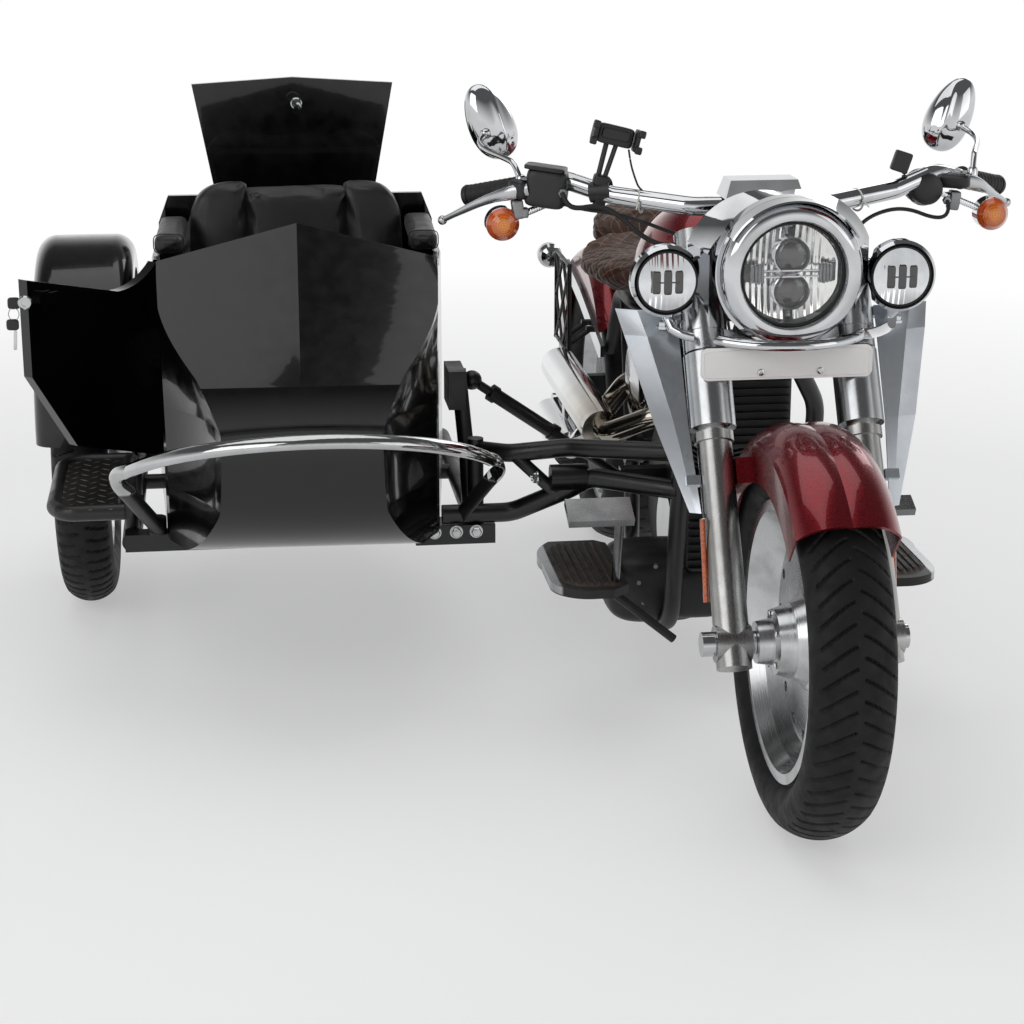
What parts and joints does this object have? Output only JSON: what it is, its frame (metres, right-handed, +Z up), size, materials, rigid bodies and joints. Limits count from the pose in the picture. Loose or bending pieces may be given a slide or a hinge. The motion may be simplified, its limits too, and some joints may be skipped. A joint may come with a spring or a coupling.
{
  "type": "sidecar motorcycle",
  "caption": "Cruiser motorcycle with a one-seat sidecar on its right: rear-hinged side door, sloping boot lid, front hoop, disc wheels and full fenders.",
  "frame": {"origin": "on the ground under the middle of the whole vehicle's box", "axes": "+X to the rider's left, +Y to the rear, +Z up"},
  "size_m": [1.826, 2.3108, 1.137],
  "materials": {
    "tyre": "black tyre rubber, matt",
    "polished": "polished and brushed aluminium",
    "chrome": "bright chrome plate",
    "red_paint": "deep red metallic paint under gloss clear coat",
    "black_paint": "gloss black paint",
    "frame_black": "satin black powder coat",
    "engine_grey": "dull cast aluminium with black covers",
    "silver_paint": "brushed silver sheet",
    "white_plate": "white plate, blank",
    "black_plastic": "matt black plastic",
    "amber": "amber lamp on a chrome stalk",
    "lens": "clear lamp lens in a chrome ring",
    "red_lens": "red lamp lens",
    "mirror": "chrome mirror shell",
    "brown_leather": "brown stitched leather",
    "black_leather": "black padded leather",
    "rubber": "black rubber"
  },
  "bodies": {
    "chassis": {"bike_frame": "frame_black", "engine_case": "engine_grey", "engine_cylinders": "engine_grey", "air_cleaner": "chrome", "fuel_tank": "red_paint", "rider_seat": "brown_leather", "swing_arm": "frame_black", "rear_axle": "chrome", "rear_fender": "red_paint", "fender_struts": "chrome", "tail_lamp": "red_lens", "drive_belt": "rubber", "side_guards": "frame_black", "exhaust": "chrome", "floorboards": "frame_black", "foot_pedals": "chrome", "sidecar_tub": "black_paint", "sidecar_nose": "black_paint", "sidecar_tail": "black_paint", "seat_base": "black_paint", "seat_cushion": "black_leather", "seat_backrest": "black_leather", "arm_pads": "black_leather", "sidecar_frame": "frame_black", "sidecar_axle": "chrome", "sidecar_hoop": "chrome", "sidecar_step": "frame_black", "sidecar_struts": "frame_black", "sidecar_fender": "black_paint"},
    "steering": {"steering_stem": "polished", "fork_legs": "polished", "fork_covers": "polished", "front_axle": "chrome", "front_fender": "red_paint", "headlamp": "lens", "headlamp_nacelle": "chrome", "instrument_cap": "chrome", "auxiliary_lamps": "lens", "number_plate": "white_plate", "handlebar": "chrome", "hand_controls": "black_plastic", "mirrors": "mirror", "front_signals": "amber", "wind_deflectors": "silver_paint"},
    "front_wheel": {"front_tyre": "tyre", "front_wheel": "polished"},
    "rear_wheel": {"rear_tyre": "tyre", "rear_wheel": "polished"},
    "sidecar_wheel": {"sidecar_tyre": "tyre", "sidecar_wheel": "polished"},
    "door": {"sidecar_door": "black_paint"},
    "boot_lid": {"boot_lid": "black_paint"},
    "side_stand": {"side_stand": "chrome"}
  },
  "joints": [
    {"name": "steering", "type": "hinge", "parent": "chassis", "child": "steering", "pos_m": [0.379, -0.49179, 0.81506], "axis": [0, 0.515, 0.8572], "range_deg": [-32, 32]},
    {"name": "front_wheel_spin", "type": "hinge", "parent": "steering", "child": "front_wheel", "pos_m": [0.379, -0.8345, 0.321], "axis": [1, 0, 0], "continuous": true},
    {"name": "rear_wheel_spin", "type": "hinge", "parent": "chassis", "child": "rear_wheel", "pos_m": [0.379, 0.8035, 0.326], "axis": [1, 0, 0], "continuous": true},
    {"name": "sidecar_wheel_spin", "type": "hinge", "parent": "chassis", "child": "sidecar_wheel", "pos_m": [-0.834, 0.5295, 0.321], "axis": [1, 0, 0], "continuous": true},
    {"name": "door_hinge", "type": "hinge", "parent": "chassis", "child": "door", "pos_m": [-0.67897, 0.16876, 0.6], "axis": [0, 0, 1], "range_deg": [0, 42]},
    {"name": "boot_lid_hinge", "type": "hinge", "parent": "chassis", "child": "boot_lid", "pos_m": [-0.36691, 0.97385, 0.6], "axis": [0.9995, -0.0332, 0], "range_deg": [0, 54.8]},
    {"name": "side_stand_pivot", "type": "hinge", "parent": "chassis", "child": "side_stand", "pos_m": [0.531, -0.1345, 0.16], "axis": [-0.6232, 0.0312, -0.7815], "range_deg": [0, 85]}
  ]
}
